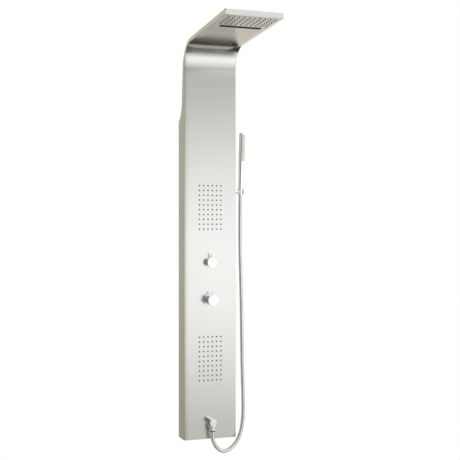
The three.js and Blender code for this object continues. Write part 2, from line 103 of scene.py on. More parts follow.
def make_camera():
    data = bpy.data.cameras.new("camera")
    data.lens = 71.02
    data.sensor_width = 36
    data.clip_end = 50
    camera = bpy.data.objects.new("camera", data)
    camera.location = (-1.01158, -3.25326, -0.33230)
    camera.rotation_euler = (math.radians(90), 0, math.radians(-18.89))
    bpy.context.scene.collection.objects.link(camera)
    bpy.context.scene.camera = camera


# ---- meshes ----


def metres(point):
    return Vector((point[0], point[1], point[2] - HANG)) / 1000


def new_object(name, verts, faces, place=None):
    """A closed mesh at the frame's origin, from points in millimetres."""
    turn = place or Matrix.Identity(4)
    mesh = bpy.data.meshes.new(name)
    mesh.from_pydata([metres(turn @ Vector(v)) for v in verts], [], faces)
    made = bpy.data.objects.new(name, mesh)
    bpy.context.scene.collection.objects.link(made)
    work = bmesh.new()
    work.from_mesh(mesh)
    bmesh.ops.recalc_face_normals(work, faces=work.faces)
    work.to_mesh(mesh)
    work.free()
    return made


def settle(obj):
    """Bakes an object's modifiers into its mesh."""
    bpy.context.view_layer.update()
    view = bpy.context.evaluated_depsgraph_get()
    mesh = bpy.data.meshes.new_from_object(obj.evaluated_get(view))
    obj.modifiers.clear()
    obj.data = mesh
    return obj


def combined(base, operation, tools):
    for tool in tools:
        step = base.modifiers.new("combine", "BOOLEAN")
        step.operation = operation
        step.solver = "MANIFOLD"
        step.object = tool
        settle(base)
        bpy.data.objects.remove(tool)
    return base


def cut(base, *tools):
    return combined(base, "DIFFERENCE", tools)


def join(base, *tools):
    return combined(base, "UNION", tools)


def rounded(points, steps=6):
    """A line of (a, b) points, where a third value is the radius that eases that corner."""
    out = []
    for i, point in enumerate(points):
        if len(point) < 3:
            out.append((point[0], point[1]))
            continue
        here = Vector(point[:2])
        back = (Vector(points[i - 1][:2]) - here).normalized()
        on = (Vector(points[(i + 1) % len(points)][:2]) - here).normalized()
        half = back.angle(on) / 2
        centre = here + (back + on).normalized() * (point[2] / math.sin(half))
        start = here + back * (point[2] / math.tan(half)) - centre
        end = here + on * (point[2] / math.tan(half)) - centre
        turn = start.angle(end)
        for k in range(steps + 1):
            a = math.sin((1 - k / steps) * turn) / math.sin(turn)
            b = math.sin(k / steps * turn) / math.sin(turn)
            out.append(tuple(centre + start * a + end * b))
    return out


def turned_mesh(profile, segments):
    """Vertices and faces of a surface of revolution about Z, from (radius, z) points."""
    closed = profile[0] == profile[-1]
    verts, rings, faces = [], [], []
    for radius, z in profile[:-1] if closed else profile:
        first = len(verts)
        if radius < 1e-6:
            verts.append((0, 0, z))
            rings.append([first] * segments)
            continue
        for k in range(segments):
            angle = 2 * math.pi * k / segments
            verts.append((radius * math.cos(angle), radius * math.sin(angle), z))
        rings.append(list(range(first, first + segments)))
    if closed:
        rings.append(rings[0])
    for low, high in zip(rings, rings[1:]):
        for k in range(segments):
            j = (k + 1) % segments
            corners = [low[k], low[j], high[j], high[k]]
            face = [v for n, v in enumerate(corners) if v not in corners[:n]]
            if len(face) > 2:
                faces.append(face)
    return verts, faces


def turned(name, profile, place=None, segments=64):
    return new_object(name, *turned_mesh(profile, segments), place)


def rod(name, radius, start, end, place=None, segments=32, ease=0.0):
    """A rod along Z, with its two rims eased."""
    corner = [ease] if ease else []
    line = [(0, start), (radius, start, *corner), (radius, end, *corner), (0, end)]
    return turned(name, rounded(line, 4), place, segments)


def block(name, x, y, z, place=None):
    verts = [(a, b, c) for a in x for b in y for c in z]
    faces = [(0, 1, 3, 2), (4, 6, 7, 5), (0, 4, 5, 1), (2, 3, 7, 6), (0, 2, 6, 4), (1, 5, 7, 3)]
    return new_object(name, verts, faces, place)


def repeated(name, verts, faces, spots, place=None):
    """One mesh of many copies, moved to each spot."""
    all_verts, all_faces = [], []
    for spot in spots:
        first = len(all_verts)
        all_verts += [tuple(Vector(v) + Vector(spot)) for v in verts]
        all_faces += [[first + v for v in face] for face in faces]
    return new_object(name, all_verts, all_faces, place)


def lofted(name, outlines):
    """A solid through outlines of equal length, [(x, [(y, z), ...]), ...]."""
    count = len(outlines[0][1])
    verts = [(x, y, z) for x, outline in outlines for y, z in outline]
    faces = []
    for s in range(len(outlines) - 1):
        for k in range(count):
            j = (k + 1) % count
            low, high = s * count, (s + 1) * count
            faces.append((low + k, low + j, high + j, high + k))
    faces.append(tuple(range(count)))
    faces.append(tuple(range((len(outlines) - 1) * count, len(outlines) * count)))
    return new_object(name, verts, faces)


# ---- routes and tubes ----


def smooth_route(points, spacing):
    """Evenly spaced points along a centripetal Catmull-Rom curve."""
    knots = [Vector(p) for p in points]
    knots = [2 * knots[0] - knots[1], *knots, 2 * knots[-1] - knots[-2]]
    dense = []
    for a, b, c, d in zip(knots, knots[1:], knots[2:], knots[3:]):
        ta, tb, tc = ((q - p).length ** 0.5 for p, q in ((a, b), (b, c), (c, d)))
        start = ((b - a) / ta - (c - a) / (ta + tb) + (c - b) / tb) * tb
        end = ((c - b) / tb - (d - b) / (tb + tc) + (d - c) / tc) * tb
        for k in range(40):
            t = k / 40
            bend = (3 * (c - b) - 2 * start - end) * t * t
            dense.append(b + start * t + bend + (2 * (b - c) + start + end) * t ** 3)
    dense.append(knots[-2])
    length = sum((q - p).length for p, q in zip(dense, dense[1:]))
    count = max(2, round(length / spacing))
    return even_steps(dense, length, count), length


def even_steps(dense, length, count):
    out, gone, wanted = [dense[0]], 0.0, length / count
    for p, q in zip(dense, dense[1:]):
        step = (q - p).length
        while len(out) < count and gone + step >= wanted * len(out):
            out.append(p.lerp(q, (wanted * len(out) - gone) / step))
        gone += step
    return out + [dense[-1]]


def tube(name, route, radii, sides):
    """A tube with one ring at each route point, closed at both ends."""
    verts, faces = [], []
    side = Vector((1, 0, 0))
    for i, centre in enumerate(route):
        along = (route[min(i + 1, len(route) - 1)] - route[max(i - 1, 0)]).normalized()
        side = (side - along * side.dot(along)).normalized()
        up = along.cross(side)
        for k in range(sides):
            angle = 2 * math.pi * k / sides
            out = side * math.cos(angle) + up * math.sin(angle)
            verts.append(centre + out * radii[i])
    for i in range(len(route) - 1):
        for k in range(sides):
            j = (k + 1) % sides
            low, high = i * sides, (i + 1) * sides
            faces.append((low + k, low + j, high + j, high + k))
    faces.append(tuple(range(sides)))
    faces.append(tuple(range((len(route) - 1) * sides, len(route) * sides)))
    return new_object(name, verts, faces)


# ---- finishes ----


def grey(level, tint=(1, 1, 1)):
    return tuple(level * t for t in tint)


def feed(tree, socket, value):
    """Links an output to an input socket, or gives the socket a plain value."""
    if hasattr(value, "is_output"):
        tree.links.new(value, socket)
    else:
        socket.default_value = value


class Finish:
    """A material whose colour, roughness and relief come from its nodes."""

    def __init__(self, name, metallic, **fixed):
        self.material = bpy.data.materials.new(name)
        self.material.use_nodes = True
        self.tree = self.material.node_tree
        self.shader = self.tree.nodes["Principled BSDF"]
        self.shader.inputs["Metallic"].default_value = metallic
        for socket, value in fixed.items():
            self.shader.inputs[socket.replace("_", " ")].default_value = value
        self.where = self.tree.nodes.new("ShaderNodeTexCoord").outputs["Object"]

    def add(self, kind, links=(), **settings):
        """A node; links are (input, output) pairs, and other settings are its properties."""
        node = self.tree.nodes.new(kind)
        for key, value in settings.items():
            setattr(node, key, value)
        for socket, source in links:
            feed(self.tree, node.inputs[socket], source)
        return node

    def noise(self, scale, detail=4.0, stretch=(1, 1, 1)):
        """Noise of about scale features to the metre, stretched along the low axes."""
        mapped = self.add("ShaderNodeMapping", [("Vector", self.where), ("Scale", stretch)])
        links = [("Vector", mapped.outputs[0]), ("Scale", scale), ("Detail", detail)]
        return self.add("ShaderNodeTexNoise", links).outputs["Fac"]

    def spread(self, value, low, high):
        """A 0 to 1 value, mostly 0.3 to 0.7, spread from low to high."""
        links = [("Value", value), ("From Min", 0.3), ("From Max", 0.7)]
        links += [("To Min", low), ("To Max", high)]
        return self.add("ShaderNodeMapRange", links).outputs["Result"]

    def colour(self, value, dark, light):
        ramp = self.add("ShaderNodeValToRGB", [("Fac", value)])
        ramp.color_ramp.elements[0].position = 0.3
        ramp.color_ramp.elements[0].color = (*dark, 1)
        ramp.color_ramp.elements[1].position = 0.7
        ramp.color_ramp.elements[1].color = (*light, 1)
        self.tree.links.new(ramp.outputs["Color"], self.shader.inputs["Base Color"])

    def roughness(self, value, low, high):
        self.tree.links.new(self.spread(value, low, high), self.shader.inputs["Roughness"])

    def relief(self, value, depth_mm, strength=1.0):
        links = [("Height", value), ("Distance", depth_mm / 1000), ("Strength", strength)]
        bump = self.add("ShaderNodeBump", links)
        self.tree.links.new(bump.outputs["Normal"], self.shader.inputs["Normal"])


def brushed_steel(name, stretch, across):
    """Fine brush lines along the low axes of stretch, so that it gleams wide of them."""
    steel = Finish(name, 1.0, Anisotropic=0.55, Specular_Tint=(0.64, 0.625, 0.595, 1))
    lines = steel.noise(1.0, 3.0, stretch)
    clouds = steel.noise(6.0, 3.0)
    steel.colour(lines, (0.60, 0.595, 0.58), (0.65, 0.645, 0.63))
    both = steel.add("ShaderNodeMath", [(0, lines), (1, clouds)], operation="ADD").outputs[0]
    half = steel.add("ShaderNodeMath", [(0, both), (1, 0.5)], operation="MULTIPLY").outputs[0]
    steel.roughness(half, 0.17, 0.25)
    steel.relief(lines, 0.02, 0.12)
    tangent = steel.add("ShaderNodeCombineXYZ", list(enumerate(across)))
    steel.tree.links.new(tangent.outputs[0], steel.shader.inputs["Tangent"])
    return steel.material


def polished_chrome(name, dark, light):
    chrome = Finish(name, 1.0)
    chrome.colour(chrome.noise(25.0), dark, light)
    chrome.roughness(chrome.noise(120.0, 5.0), 0.035, 0.09)
    chrome.relief(chrome.noise(900.0, 2.0), 0.01, 0.05)
    return chrome.material


def turned_brass():
    brass = Finish("turned_brass", 1.0)
    brass.colour(brass.noise(90.0, 6.0), (0.47, 0.33, 0.13), (0.66, 0.49, 0.22))
    brass.roughness(brass.noise(260.0, 5.0), 0.26, 0.46)
    brass.relief(brass.noise(1400.0, 3.0), 0.05, 0.3)
    return brass.material


def zinc_plate():
    """Galvanised sheet, with its spangle."""
    zinc = Finish("zinc_plate", 1.0)
    cells = zinc.add("ShaderNodeTexVoronoi", [("Vector", zinc.where), ("Scale", 130.0)])
    grey = zinc.add("ShaderNodeRGBToBW", [("Color", cells.outputs["Color"])]).outputs[0]
    zinc.colour(grey, (0.42, 0.44, 0.46), (0.62, 0.64, 0.66))
    zinc.roughness(grey, 0.32, 0.5)
    zinc.relief(zinc.noise(900.0), 0.03, 0.3)
    return zinc.material


def moulded(name, dark, light, rough, relief, **fixed):
    """Moulded plastic, rubber or silicone, with a fine grain."""
    plastic = Finish(name, 0.0, **fixed)
    plastic.colour(plastic.noise(70.0, 5.0), dark, light)
    plastic.roughness(plastic.noise(300.0), rough, rough + 0.14)
    plastic.relief(plastic.noise(2200.0, 2.0), relief, 0.5)
    return plastic.material


def make_finishes():
    clear = {"Transmission_Weight": 0.35, "IOR": 1.5}
    return {
        "brushed_steel": brushed_steel("brushed_steel", (2600, 40, 5), (1.0, 0.0, 0.0)),
        "brushed_side": brushed_steel("brushed_side", (40, 2600, 5), (0.0, 1.0, 0.0)),
        "chrome": polished_chrome("polished_chrome", (0.84, 0.85, 0.86), (0.91, 0.915, 0.92)),
        "hose_steel": polished_chrome("hose_steel", (0.56, 0.56, 0.55), (0.64, 0.64, 0.63)),
        "brass": turned_brass(),
        "zinc_steel": zinc_plate(),
        "silicone": moulded("silicone", (0.17, 0.175, 0.175), (0.23, 0.235, 0.23), 0.5, 0.02),
        "white_plastic": moulded("white_plastic", (0.7, 0.7, 0.66), (0.8, 0.8, 0.77), 0.4, 0.03),
        "black_rubber": moulded("black_rubber", grey(0.018), grey(0.04), 0.6, 0.04),
        "clear_tube": moulded(
            "clear_tube", (0.66, 0.7, 0.68), (0.78, 0.8, 0.78), 0.22, 0.01, **clear
        ),
    }


finishes = make_finishes()


def dress(obj, body, slot, *stands_for, bevel=0.0, sharp=32, finish=None):
    """Gives a piece its finish, soft edges and body, and hides the nodes it stands for."""
    mesh = obj.data
    mesh.materials.clear()
    mesh.materials.append(finishes[finish or slot])
    soften(obj, bevel, sharp)
    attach(obj, body)
    if stands_for:
        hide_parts(*stands_for)
    return obj


def soften(obj, bevel, sharp):
    for face in obj.data.polygons:
        face.use_smooth = True
    obj.data.set_sharp_from_angle(angle=math.radians(sharp))
    if bevel:
        edge = obj.modifiers.new("edges", "BEVEL")
        edge.width = bevel / 1000
        edge.segments = 2
        edge.limit_method = "ANGLE"
        edge.angle_limit = math.radians(sharp)
    even = obj.modifiers.new("even_normals", "WEIGHTED_NORMAL")
    even.keep_sharp = True


# ---- the shower hose ----

HOSE_ROUTE = [
    (122, -60, 899.7), (122, -58.5, 872), (122, -57.5, 840), (121.5, -57.5, 768),
    (122, -58, 693), (124, -59, 600), (126, -60, 506), (127, -62, 394), (127.5, -65, 283),
    (128.5, -67.5, 208), (129.5, -70.5, 134), (128.5, -73, 95), (125, -76, 60),
    (118, -79.5, 26), (105, -83.5, -4), (85, -88, -28), (61, -92, -42), (37, -95.5, -41),
    (17, -98, -26), (4.5, -99.3, -5), (0, -99.5, 12), (0, -99.5, 29.7),
]


def make_hose():
    """A metal hose of interlocked ribs, from the outlet's nut round to the handset."""
    steps = 4
    route, length = smooth_route(HOSE_ROUTE[::-1], HOSE_RIB / steps)
    rib = [HOSE_RADIUS - 0.5, HOSE_RADIUS - 0.05, HOSE_RADIUS, HOSE_RADIUS - 0.05]
    radii = [rib[i % steps] for i in range(len(route))]
    hose = tube("metal_hose", route, radii, 24)
    hose.data.materials.append(finishes["hose_steel"])
    soften(hose, 0, 60)
    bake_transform(hose)
    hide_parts("shower_hose")
    return hose, [metres(p) for p in route], length / 1000


# ---- the folded steel ----


def underside_z(y):
    return UNDERSIDE - (y + REACH) * math.tan(UNDERSIDE_RISE)


def top_z(y):
    return TOP - (y + REACH) * math.tan(TOP_RISE)


def front_path(start_z, end_y, inset, steps=36):
    """Up the front, round the inner bend and under the arm, set inwards by inset."""
    rise = inset / math.cos(UNDERSIDE_RISE)
    corner = (-DEPTH + inset, underside_z(-DEPTH + inset) + rise, INNER_BEND + inset)
    foot = (-DEPTH + inset, start_z)
    return rounded([foot, corner, (end_y, underside_z(end_y) + rise)], steps)


def neck_path(end_y, steps=36):
    """From the shoulder up the neck, round the outer bend and forward along the top."""
    ease = [(0.0, SHOULDER), (-37.6, 1188.6), NECK_FOOT]
    shoulder = []
    for k in range(13):
        t = k / 12
        weights = ((1 - t) ** 2, 2 * t * (1 - t), t * t)
        shoulder.append(tuple(sum(w * p[a] for w, p in zip(weights, ease)) for a in (0, 1)))
    bend_y = NECK_FOOT[0] - (top_z(-60) - NECK_FOOT[1]) * math.tan(NECK_LEAN)
    line = [NECK_FOOT, (bend_y, top_z(bend_y), OUTER_BEND), (end_y, top_z(end_y))]
    return shoulder[:-1] + rounded(line, steps)


def moved(path, distance, closed=False):
    """A path in the Y-Z plane moved sideways, to the left of its direction."""
    points = [Vector(p) for p in path]
    sides = zip(points, points[1:] + points[:1])
    lefts = [Vector((a.y - b.y, b.x - a.x)).normalized() for a, b in sides]
    out = []
    for i, here in enumerate(points):
        before = lefts[i - 1] if i or closed else lefts[0]
        after = lefts[i] if i < len(points) - 1 or closed else lefts[i - 1]
        out.append(tuple(here + (before + after) * (distance / (1 + before.dot(after)))))
    return out


def crown(x):
    """How far the front face falls back near the panel's two long edges."""
    into = max(0.0, abs(x) - (WIDTH / 2 - CROWN_BAND)) / CROWN_BAND
    return CROWN * into * into


def casing_outline(x, inset):
    front = front_path(0, -REACH, crown(x))
    line = [(0.0, 0.0), (*front[0], 2.0), *front[1:-1], (*front[-1], 3.0), (-REACH, TOP)]
    outline = rounded(line, 5) + neck_path(-REACH)[::-1][1:]
    return moved(outline, -inset, closed=True) if inset else outline


def cavity_outline(x):
    lip = -REACH + SHEET
    behind = moved([(0.0, SHEET), *neck_path(lip)], -5)
    return front_path(SHEET, lip, SHEET + crown(x)) + behind[::-1]


def rim_stations(half, rim, steps):
    """(x, inset) round the edge of a sheet."""
    angles = [math.pi / 2 * k / steps for k in range(steps + 1)]
    return [(half - rim + rim * math.sin(a), rim * (1 - math.cos(a))) for a in angles]


def both_sides(right):
    return [(-x, inset) for x, inset in reversed(right)] + right


def stations(half, rim, steps):
    """(x, inset) across the panel, with a rounded rim at each end."""
    end = rim_stations(half, rim, steps) if rim else [(half, 0)]
    band = [(WIDTH / 2 - CROWN_BAND + k * 3, 0) for k in range(8)]
    return both_sides([s for s in band if s[0] < half - rim - 0.5] + end)


def field_spots(field):
    spots = []
    for column in range(field["columns"]):
        for row in range(field["rows"]):
            x = (column - (field["columns"] - 1) / 2) * field["pitch_x"]
            z = (row - (field["rows"] - 1) / 2) * field["pitch_z"]
            spots.append((x, z, 0))
    return spots


def out_of_front(z, x=0.0):
    """A local frame on the front face, with Z out of it and Y up."""
    return Matrix.Translation((x, -DEPTH, z)) @ Matrix.Rotation(math.pi / 2, 4, "X")


def out_of_head(back):
    """A local frame on the head's underside, with Z down out of it."""
    tilt = Matrix.Translation((0, -REACH, UNDERSIDE)) @ Matrix.Rotation(-UNDERSIDE_RISE, 4, "X")
    return tilt @ Matrix.Translation((0, back, 0)) @ Matrix.Rotation(math.pi, 4, "X")


def lean_frame(turn=0.0):
    """The handset's local frame: its axis leans forward as it goes up."""
    spot = Matrix.Translation(HANDSET) @ Matrix.Rotation(HANDSET_LEAN, 4, "X")
    return spot @ Matrix.Rotation(turn, 4, "Z")


def across_control(place, height, way):
    """A frame across a control, whose Z points up for a way of 1 and down for -1."""
    spot = place @ Matrix.Translation((0, 0, height))
    return spot @ Matrix.Rotation(-way * math.pi / 2, 4, "X")


def field_holes(field, place):
    verts, faces = turned_mesh([(0, -4), (field["hole"], -4), (field["hole"], 3), (0, 3)], 20)
    return repeated("holes", verts, faces, field_spots(field), place)


def holder_spot():
    """Where the holder's boss meets the panel's side, in the plane x = 0."""
    y = HANDSET[1] - HOLDER_UP * math.sin(HANDSET_LEAN)
    return Vector((0, y, HANDSET[2] + HOLDER_UP * math.cos(HANDSET_LEAN)))


def make_panel():
    outlines = [(x, casing_outline(x, inset)) for x, inset in stations(WIDTH / 2, 1.2, 4)]
    panel = lofted("panel_skin", outlines)
    cavity = lofted("cavity", [(x, cavity_outline(x)) for x, _ in stations(INNER_HALF, 0, 1)])
    flange = block("flange", (-INNER_HALF, INNER_HALF), (-DEPTH + BOTTOM_FLANGE, 5), (-5, 5))
    notch = block("notch", (-101, -96.2), (-REACH - 1, -REACH + 3), (TOP - 4.6, TOP + 1))
    slot = block("slot", (-72, 72), (-8, 8), (-4, 3), out_of_head(SPOUT_CENTRE))
    bores = [rod("bore", radius, -4, 3, out_of_front(z), 48)
             for radius, z in ((11.9, DIVERTER), (16.9, MIXER), (9.9, OUTLET))]
    side_hole = Matrix.Translation(holder_spot()) @ Matrix.Rotation(math.pi / 2, 4, "Y")
    screws = [rod("bore", 2.5, -1, 3, Matrix.Translation((x, -52, 0)), 16) for x in (-60, 60)]
    cut(panel, cavity, flange, notch, slot, *bores, rod("bore", 3, 97, 101, side_hole, 20), *screws)
    cut(panel, field_holes(JETS, out_of_front(UPPER_JETS)))
    cut(panel, field_holes(JETS, out_of_front(LOWER_JETS)))
    cut(panel, field_holes(RAIN, out_of_head(RAIN_CENTRE)))
    dress(panel, "casing", "brushed_steel", "front_panel")
    two_way(panel)
    # A thin black plate just behind the corner notch is painted shade: it darkens the notch at the
    # head's front corner.
    thin = (-REACH + 0.6, -REACH + 1.4)
    seal = block("corner_shade_plate", (-99.3, -96.5), thin, (TOP - 4.4, TOP - 0.6))
    dress(seal, "casing", "black_rubber")


def two_way(obj):
    """Side walls are brushed along their own length."""
    obj.data.materials.append(finishes["brushed_side"])
    for face in obj.data.polygons:
        face.material_index = int(abs(face.normal.x) > 0.8)


def make_cover():
    outer = neck_path(-REACH + SHEET + GAP)
    sheet = outer + moved(outer, SHEET)[::-1]
    across = both_sides(rim_stations(INNER_HALF - GAP, 0.5, 2))
    cover = lofted("cover_skin", [(x, moved(sheet, i, True) if i else sheet) for x, i in across])
    dress(cover, "casing", "brushed_steel", "top_cover")


# ---- nozzles ----


def nozzle_profile(hole, proud):
    """A soft nozzle up through its hole, with a small bore in its rounded tip."""
    wide = hole - 0.15
    tip = hole * 0.6
    line = [(0, -3.2), (wide, -3.2), (wide, 0.2), (tip, proud, 0.6), (0.7, proud, 0.2)]
    return rounded([*line, (0.7, proud - 1.4), (0, proud - 1.4)], 3)


def make_nozzles(name, field, place, half_x, half_z, node):
    verts, faces = turned_mesh(nozzle_profile(field["hole"], 2.4), 16)
    tips = repeated(name, verts, faces, field_spots(field), place)
    back = SHEET + GAP
    plate = block("plate", (-half_x, half_x), (-half_z, half_z), (-back - 2, -back), place)
    join(tips, plate)
    dress(tips, "casing", "silicone", node)


def make_spout():
    place = out_of_head(SPOUT_CENTRE)
    back = SHEET + GAP
    spout = block("spout_skin", (-74, 74), (-12, 12), (-back - 9.5, -back), place)
    join(spout, block("lip", (-71.5, 71.5), (-7.5, 7.5), (-back - 1, 1), place))
    cut(spout, block("slot", (-70.5, 70.5), (-6.5, 6.5), (-back - 7.5, 2), place))
    # The spout takes the black rubber finish, darker than its silicone slot, as painted shade in the
    # slot's opening.
    dress(spout, "casing", "silicone", "waterfall_spout", finish="black_rubber")


# ---- controls ----


def make_diverter():
    place = out_of_front(DIVERTER)
    outside = [(0, 27), (19, 27, 2.5), (19, 0.8, 0.3)]
    line = [*outside, (17.2, 0.8), (17.2, 14), (7, 14), (7, 10), (0, 10)]
    knob = turned("diverter_knob_skin", rounded(line, 6)[::-1], place, 96)
    up = across_control(place, 18, 1)
    down = across_control(place, 18, -1)
    spindle_bore = rod("bore", 3.9, 9, 22.3, place)
    cut(knob, spindle_bore, rod("bore", PIN_BORE, 12, 21, up), rod("bore", GRUB_BORE, 3, 20, down))
    dress(knob, "diverter", "chrome", "diverter_knob", bevel=0.2)
    pin = rod("diverter_pin_skin", PIN, 12.3, 32, up, 32, 0.8)
    dress(pin, "diverter", "chrome", "diverter_pin")


def pivot_arc(radius, start, end, steps):
    """Points of a sphere about the mixer's pivot, by their angle from the axis."""
    angles = [math.radians(start + (end - start) * k / steps) for k in range(steps + 1)]
    return [(radius * math.sin(a), PIVOT + radius * math.cos(a)) for a in angles]


def make_mixer():
    place = out_of_front(MIXER)
    outside = [(20.5, PIVOT), (20.5, 2.3), (21.8, 2.3, 0.5), (21.8, GAP)]
    inside = [(19.3, GAP), (19.3, PIVOT), *pivot_arc(18.9, 90, 43.5, 14)]
    line = [*pivot_arc(20.2, 40.1, 90, 16), *outside, *inside]
    sleeve = turned("mixer_sleeve_skin", rounded([*line, line[0]], 4), place, 96)
    dress(sleeve, "casing", "chrome", "mixer_sleeve")
    outside = [(0, 42), (21, 42, 2.5), (21, PIVOT + 8)]
    line = [*outside, *pivot_arc(21.2, 67.6, 17.46, 12), (6.3, 31), (0, 31)]
    handle = turned("mixer_handle_skin", rounded(line, 6)[::-1], place, 96)
    up = across_control(place, 32, 1)
    down = across_control(place, 38.5, -1)
    socket = block("socket", (-3.8, 3.8), (-3.8, 3.8), (30, 40.5), place)
    cut(handle, socket, rod("bore", PIN_BORE, 17.6, 23, up), rod("bore", GRUB_BORE, 3, 22, down))
    dress(handle, "mixer_handle", "chrome", "mixer_handle", bevel=0.2)
    pin = rod("mixer_pin_skin", PIN, 19.9, 29, up, 32, 0.8)
    dress(pin, "mixer_handle", "chrome", "mixer_pin")


def make_outlet():
    place = out_of_front(OUTLET)
    line = [(0, 39), (12.75, 39, 1.2), (12.75, GAP), (9.5, GAP), (9.5, -16), (0, -16)]
    outlet = turned("outlet_skin", rounded(line, 6)[::-1], place, 96)
    under = Matrix.Translation((0, -DEPTH - NIPPLE, OUTLET))
    join(outlet, rod("nipple", 9, -20, -8, under, 48))
    cut(outlet, rod("bore", 5, -21, 0, under), rod("bore", 5, -17, NIPPLE, place))
    dress(outlet, "casing", "chrome", "hose_outlet", bevel=0.25)
    foot = [(8.6, -36), (8.6, -34), (7.3, -34), (7.3, -30.2), (11.2, -30), (11.2, -27, 0.3)]
    grip = [(10.7, -26.6), (10.7, -25.6), (11.2, -25.2, 0.3), (11.2, -13.2, 0.6)]
    line = [*foot, *grip, (9.3, -13.2), (9.3, -22.9), (5, -22.9), (5, -36)]
    nut = turned("lower_nut_skin", rounded([*line, line[0]], 3), under, 64)
    flute = turned_mesh([(0, -31), (1.5, -31), (1.5, -16), (0, -16)], 12)
    turns = [k * math.pi / 5 for k in range(10)]
    spots = [(11.9 * math.cos(a), 11.9 * math.sin(a), 0) for a in turns]
    cut(nut, repeated("flutes", *flute, spots, under))
    dress(nut, "casing", "chrome", "lower_hose_nut", bevel=0.25)
    line = [(7.4, -33.8), (10.3, -33.8, 0.8), (10.3, -30.4, 0.8), (7.4, -30.4)]
    seal = turned("nut_seal", rounded([*line, line[0]], 3), under, 48)
    dress(seal, "casing", "black_rubber")
    return nut


# ---- handset and its holder ----


def nut_radius(height):
    """The hose's upper nut is a cone, and the holder's hole follows it."""
    return 9.2 + 1.4 * height / 24


def make_handset():
    stick = lean_frame(HANDSET_TURN)
    stem = [(0, 12), (4.1, 12), (4.1, 24.3)]
    line = [*stem, (9.6, 24.3, 0.5), (10, 60), (11, 118), (11, 229, 1.6), (0, 229)]
    body = turned("handset_skin", rounded(line, 6), stick, 96)
    cut(body, block("pocket", (-7, 7), (-12, -8.3), (124, 222), stick), rod("bore", 2.5, 11, 60, stick))
    dress(body, "handset", "chrome", "handset_body", bevel=0.25)
    face = block("spray_plate", (-6.7, 6.7), (-10.6, -8.6), (124.3, 221.7), stick)
    front = stick @ Matrix.Translation((0, -10.6, 0)) @ Matrix.Rotation(math.pi / 2, 4, "X")
    spots = [(x, z, 0) for x in (-3.6, 0, 3.6) for z in range(130, 218, 6)]
    well = turned_mesh([(0, -1), (1.3, -1), (1.3, 1), (0, 1)], 12)
    cut(face, repeated("wells", *well, spots, front))
    dress(face, "handset", "white_plastic", "handset_spray_face", bevel=0.15)
    tip = rounded([(0, -0.9), (1.1, -0.9), (0.9, 0.7, 0.3), (0, 0.7)], 3)
    tips = repeated("spray_tips", *turned_mesh(tip, 12), spots, front)
    dress(tips, "handset", "white_plastic")


def make_upper_nut():
    foot = [(4.5, 0), (nut_radius(0), 0, 0.5), (nut_radius(4), 4)]
    groove = [(nut_radius(4) - 0.6, 4.6), (nut_radius(5) - 0.6, 5.6), (nut_radius(6), 6.2)]
    line = [*foot, *groove, (nut_radius(24), 24, 0.5), (4.5, 24), (4.5, 0)]
    nut = turned("upper_nut_skin", rounded(line, 3), lean_frame(), 64)
    return dress(nut, "hose_swivel", "chrome", "upper_hose_nut")


def make_holder():
    place = lean_frame()
    line = [(0, 3), (13.5, 3, 0.8), (13.5, 21, 0.8), (0, 21)]
    holder = turned("holder_skin", rounded(line, 4), place, 96)
    across = place @ Matrix.Translation((0, 0, HOLDER_UP)) @ Matrix.Rotation(math.pi / 2, 4, "Y")
    join(holder, rod("boss", 8, WIDTH / 2 + GAP - HANDSET[0], -10, across, 64))
    cone = [(0, 0), (nut_radius(0) + 0.35, 0), (nut_radius(24) + 0.35, 24), (0, 24)]
    taper = turned("taper", cone, place)
    slot = block("mouth", (-7.6, 7.6), (-20, 0), (0, 24), place)
    cut(holder, taper, slot, rod("bore", 2.9, -24, -14, across))
    dress(holder, "casing", "chrome", "handset_holder", bevel=0.4)


# ---- water lines ----


def over_the_bend(x, end_back):
    """The way of a head line up the panel, round the bend and along the arm."""
    radius = INNER_BEND + 7.4
    centre = (-DEPTH - INNER_BEND, underside_z(-DEPTH) - 77.9)
    turn = [math.radians(88.5) * k / 6 for k in range(7)]
    arc = [(x, centre[0] + radius * math.cos(a), centre[1] + radius * math.sin(a)) for a in turn]
    end = -REACH + end_back
    tail = [(x, end + 60, underside_z(end + 60) + 7), (x, end, underside_z(end) + 7.6)]
    return [(x, arc[0][1], 1140), (x, arc[0][1], 1250), *arc, *tail]


def make_lines():
    rise = [(-40, 681.3), (-40, 740), (-40, 940)]
    routes = {
        "rain_line": [*((-15, y, z) for y, z in rise), (-45, -50, 1020), (-86, -64, 1085),
                      *over_the_bend(-86, 118.5)],
        "waterfall_line": [*((15, y, z) for y, z in rise), (35, -50, 1020), (58, -64, 1085),
                           *over_the_bend(58, 151)],
        "upper_jet_line": [(-58, -40, 665.3), (-58, -40, 690), (-52, -50, 725), (-44, -58, 745),
                           (-44, -58, 758.6)],
        "lower_jet_line": [(-58, -40, 632.7), (-58, -40, 600), (-58, -40, 460), (-52, -50, 420),
                           (-44, -58, 402), (-44, -58, 387.4)],
        "handset_line": [(15, -40, 616.7), (17, -40, 600), (40, -40, 572), (54, -40, 540),
                         (54, -40, 470), (44, -38, 400), (24, -36, 320), (8, -36, 200),
                         (0, -42, 130), (0, -45, 106), (0, -45, 90.4)],
    }
    for node, points in routes.items():
        route, _ = smooth_route(points, 5)
        radius = 4 if node in ("rain_line", "waterfall_line") else 5
        line = tube(node + "_tube", route, [radius] * len(route), 20)
        dress(line, "casing", "clear_tube", node, sharp=60)


# ---- what stays as packed ----


def dress_nodes():
    """Every node that still shows takes its slot's finish, with eased edges."""
    for part in frame["record"]["subparts"]:
        node = nodes[part["node"]]
        if node.hide_render:
            continue
        node.data.materials.clear()
        node.data.materials.append(finishes[part["material_slot"]])
        soften(node, 0.5, 35)


# ---- light ----

# The softbox and the floor, in metres.
BOX_TURN = math.radians(26)
BOX_AWAY = 0.9
BOX_CENTRE = -0.48
BOX_FOOT = -1.30
BOX_HEAD = 0.42
BOX_LEFT = -0.63
BOX_RIGHT = 0.82
BOX_SPREAD = 0.71
BOX_STRENGTH = 1.45
FLOOR_HALF = 1.5
FLOOR_LEVEL = -1.85


